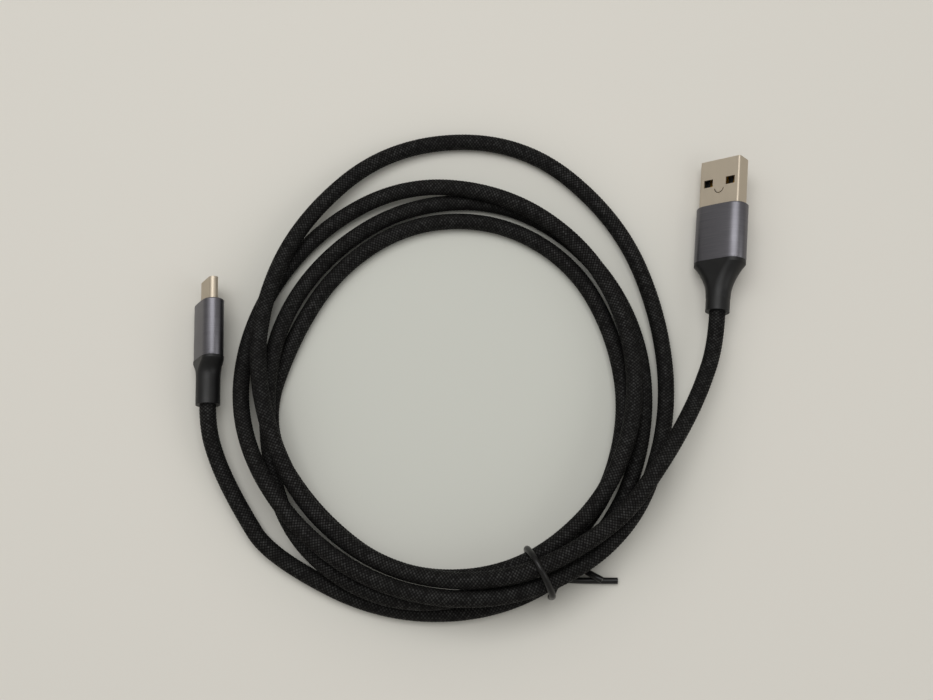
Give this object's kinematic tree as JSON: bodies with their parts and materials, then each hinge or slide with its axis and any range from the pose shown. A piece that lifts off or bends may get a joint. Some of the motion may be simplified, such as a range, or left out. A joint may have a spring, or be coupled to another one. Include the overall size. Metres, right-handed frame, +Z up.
{
  "type": "charging cable",
  "caption": "Braided charging cable wound in loose turns and held by a wire tie, with a rectangular metal plug on one end and a small oval plug on the other.",
  "frame": {"origin": "on the surface that the cable lies on, under the middle of the box that holds the two plugs", "axes": "+Z up; +Y the way both plugs roughly point; +X from the oval plug to the rectangular one"},
  "size_m": [0.1456, 0.1273, 0.0178],
  "materials": {
    "braid": "braided polyester sleeve over the cord",
    "tie_cover": "dark plastic cover of the wire tie",
    "steel_wire": "bare wire at the tie's cut ends",
    "anodised_a": "fine blasted dark grey anodising",
    "anodised_c": "fine blasted dark grey anodising",
    "relief": "moulded soft black strain relief",
    "shell_a": "nickel plated folded steel",
    "shell_c": "nickel plated drawn steel",
    "insulator": "black moulded plastic",
    "mould": "pale natural plastic",
    "jacket": "cord's jacket",
    "crimp": "crimped ferrule",
    "contact": "gold plated contact",
    "wire_red": "red insulation",
    "wire_black": "black insulation",
    "wire_green": "green insulation",
    "board": "circuit board with solder mask",
    "chip": "chip resistor",
    "can": "tinned steel can",
    "spring_steel": "stainless spring steel"
  },
  "bodies": {
    "root": {"cord_coil": "braid", "cord_lead_a": "braid", "cord_lead_c": "braid", "tie_cover": "tie_cover", "tie_wire": "steel_wire", "usb_a_cable_end": "jacket", "usb_a_crimp": "crimp", "usb_a_data_contacts": "contact", "usb_a_data_wires": "wire_green", "usb_a_ground_wire": "wire_black", "usb_a_housing": "anodised_a", "usb_a_inner_mould": "mould", "usb_a_insulator": "insulator", "usb_a_power_contacts": "contact", "usb_a_power_wire": "wire_red", "usb_a_shell": "shell_a", "usb_a_strain_relief": "relief", "usb_c_cable_end": "jacket", "usb_c_circuit_board": "board", "usb_c_crimp": "crimp", "usb_c_data_wires": "wire_green", "usb_c_emi_springs": "spring_steel", "usb_c_ground_wire": "wire_black", "usb_c_housing": "anodised_c", "usb_c_inner_mould": "mould", "usb_c_insulator": "insulator", "usb_c_latch": "spring_steel", "usb_c_lower_contacts": "contact", "usb_c_power_wire": "wire_red", "usb_c_resistor": "chip", "usb_c_shell": "shell_c", "usb_c_shield_can": "can", "usb_c_strain_relief": "relief", "usb_c_upper_contacts": "contact"}
  },
  "joints": []
}
